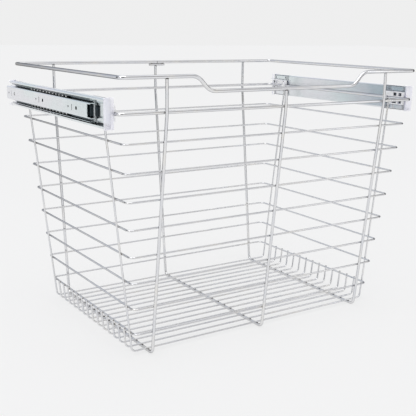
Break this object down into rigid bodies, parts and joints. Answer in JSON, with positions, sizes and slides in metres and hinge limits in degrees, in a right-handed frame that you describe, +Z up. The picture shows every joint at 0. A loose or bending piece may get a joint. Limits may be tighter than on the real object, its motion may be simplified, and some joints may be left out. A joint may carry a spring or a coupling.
{
  "type": "pull-out closet basket",
  "caption": "Deep chromed wire basket with a dipped front rim, hung by clear plastic clips between full-extension ball-bearing drawer slides.",
  "frame": {"origin": "on the surface that the runners stand on, under the middle of the overall box", "axes": "+X from the left slide to the right one, +Y from the dipped front to the back, +Z up"},
  "size_m": [0.6394, 0.443, 0.46],
  "materials": {
    "chrome_wire": "polished",
    "zinc_steel": "bright zinc plate",
    "bearing_steel": "polished",
    "clear_plastic": "clear",
    "black_plastic": "satin"
  },
  "bodies": {
    "cabinet_rails": {"left_cabinet_member": "zinc_steel", "left_lever_rivet": "zinc_steel", "right_cabinet_member": "zinc_steel", "right_lever_rivet": "zinc_steel"},
    "basket": {"rim_wire": "chrome_wire", "rim_splice_bar": "chrome_wire", "slide_ring": "chrome_wire", "side_ring_1": "chrome_wire", "side_ring_2": "chrome_wire", "side_ring_3": "chrome_wire", "side_ring_4": "chrome_wire", "side_ring_5": "chrome_wire", "side_ring_6": "chrome_wire", "side_ring_7": "chrome_wire", "side_ring_8": "chrome_wire", "upright_left": "chrome_wire", "upright_centre": "chrome_wire", "upright_right": "chrome_wire", "side_upright_front": "chrome_wire", "side_upright_rear": "chrome_wire", "floor_wire_01": "chrome_wire", "floor_wire_02": "chrome_wire", "floor_wire_03": "chrome_wire", "floor_wire_04": "chrome_wire", "floor_wire_05": "chrome_wire", "floor_wire_06": "chrome_wire", "floor_wire_07": "chrome_wire", "floor_wire_08": "chrome_wire", "floor_wire_09": "chrome_wire", "floor_wire_10": "chrome_wire", "floor_wire_11": "chrome_wire", "floor_wire_12": "chrome_wire", "floor_wire_13": "chrome_wire", "floor_wire_14": "chrome_wire", "left_basket_member": "zinc_steel", "left_front_clip": "clear_plastic", "left_rear_clip": "clear_plastic", "left_front_bumper": "black_plastic", "right_basket_member": "zinc_steel", "right_front_clip": "clear_plastic", "right_rear_clip": "clear_plastic", "right_front_bumper": "black_plastic"},
    "left_intermediate": {"left_intermediate_member": "zinc_steel", "left_stop_block": "black_plastic"},
    "left_outer_ball_cage": {"left_outer_cage": "zinc_steel", "left_outer_balls": "bearing_steel"},
    "left_inner_ball_cage": {"left_inner_cage": "zinc_steel", "left_inner_balls": "bearing_steel"},
    "left_lever": {"left_release_lever": "black_plastic"},
    "right_intermediate": {"right_intermediate_member": "zinc_steel", "right_stop_block": "black_plastic"},
    "right_outer_ball_cage": {"right_outer_cage": "zinc_steel", "right_outer_balls": "bearing_steel"},
    "right_inner_ball_cage": {"right_inner_cage": "zinc_steel", "right_inner_balls": "bearing_steel"},
    "right_lever": {"right_release_lever": "black_plastic"}
  },
  "joints": [
    {"name": "basket_pull", "type": "slide", "parent": "cabinet_rails", "child": "basket", "axis": [0, -1, 0], "range_m": [0, 0.4]},
    {"name": "left_intermediate_slide", "type": "slide", "parent": "cabinet_rails", "child": "left_intermediate", "axis": [0, -1, 0], "range_m": [0, 0.172]},
    {"name": "left_outer_ball_cage_slide", "type": "slide", "parent": "cabinet_rails", "child": "left_outer_ball_cage", "axis": [0, -1, 0], "range_m": [0, 0.286]},
    {"name": "left_inner_ball_cage_slide", "type": "slide", "parent": "cabinet_rails", "child": "left_inner_ball_cage", "axis": [0, -1, 0], "range_m": [0, 0.086]},
    {"name": "left_lever_pivot", "type": "hinge", "parent": "cabinet_rails", "child": "left_lever", "pos_m": [-0.31705, -0.125, 0.404], "axis": [1, 0, 0], "range_deg": [-8, 8], "stiffness_Nm_per_rad": 0.01},
    {"name": "right_intermediate_slide", "type": "slide", "parent": "cabinet_rails", "child": "right_intermediate", "axis": [0, -1, 0], "range_m": [0, 0.172]},
    {"name": "right_outer_ball_cage_slide", "type": "slide", "parent": "cabinet_rails", "child": "right_outer_ball_cage", "axis": [0, -1, 0], "range_m": [0, 0.286]},
    {"name": "right_inner_ball_cage_slide", "type": "slide", "parent": "cabinet_rails", "child": "right_inner_ball_cage", "axis": [0, -1, 0], "range_m": [0, 0.086]},
    {"name": "right_lever_pivot", "type": "hinge", "parent": "cabinet_rails", "child": "right_lever", "pos_m": [0.31705, -0.125, 0.404], "axis": [1, 0, 0], "range_deg": [-8, 8], "stiffness_Nm_per_rad": 0.01}
  ],
  "couplings": [
    {"joint": "left_intermediate_slide", "follows": "basket_pull", "ratio": 0.43},
    {"joint": "left_outer_ball_cage_slide", "follows": "basket_pull", "ratio": 0.715},
    {"joint": "left_inner_ball_cage_slide", "follows": "basket_pull", "ratio": 0.215},
    {"joint": "right_intermediate_slide", "follows": "basket_pull", "ratio": 0.43},
    {"joint": "right_outer_ball_cage_slide", "follows": "basket_pull", "ratio": 0.715},
    {"joint": "right_inner_ball_cage_slide", "follows": "basket_pull", "ratio": 0.215}
  ]
}
